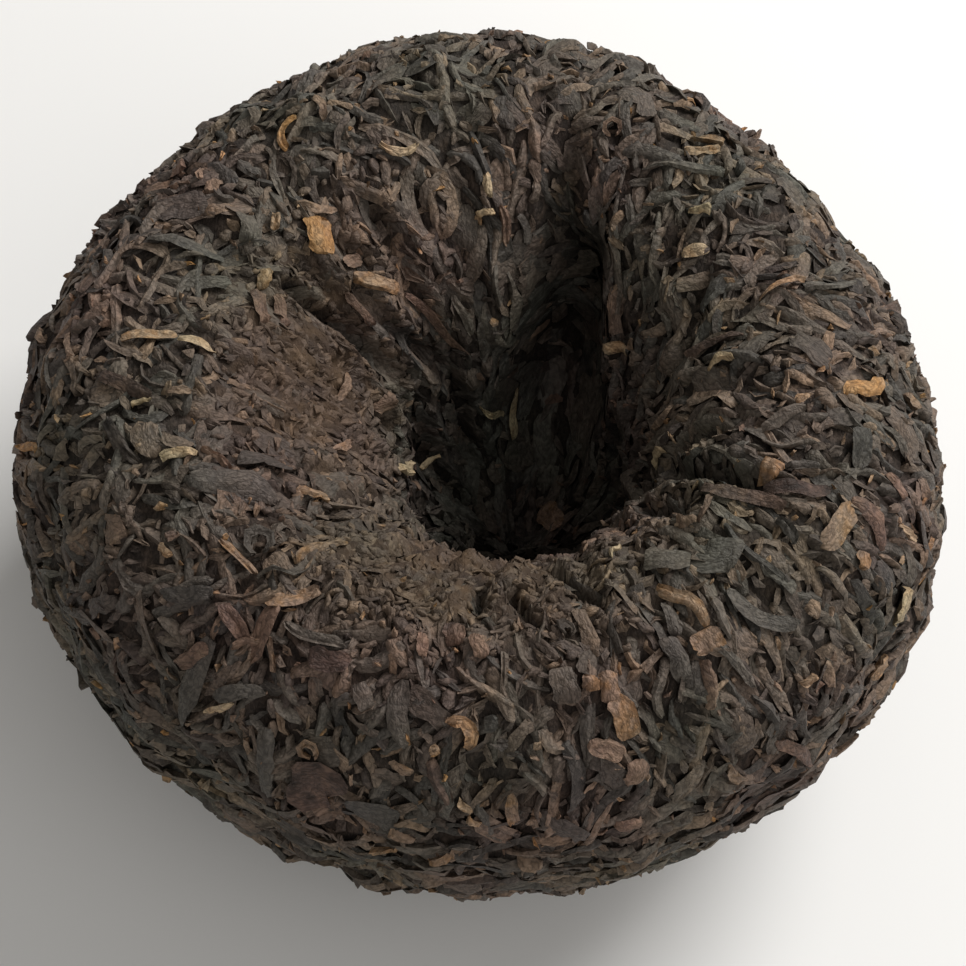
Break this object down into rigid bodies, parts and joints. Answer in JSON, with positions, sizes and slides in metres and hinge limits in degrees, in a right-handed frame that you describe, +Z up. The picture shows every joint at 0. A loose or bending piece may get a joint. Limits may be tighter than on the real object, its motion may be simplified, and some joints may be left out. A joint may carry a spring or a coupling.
{
  "type": "pu erh tuocha",
  "caption": "Nest-shaped block of pressed dark tea leaves, domed below with a deep round hollow above, broken up for brewing.",
  "frame": {"origin": "on the table, under the middle of the nest's outline, which rests on its dome", "axes": "+Z up, the way the hollow opens; -Y toward the picture's viewer; +X to the viewer's right"},
  "size_m": [0.0835, 0.0823, 0.0482],
  "materials": {
    "tea_leaf": "matte pressed tea leaves"
  },
  "bodies": {
    "root": {"pressed_nest": "tea_leaf"}
  },
  "joints": []
}
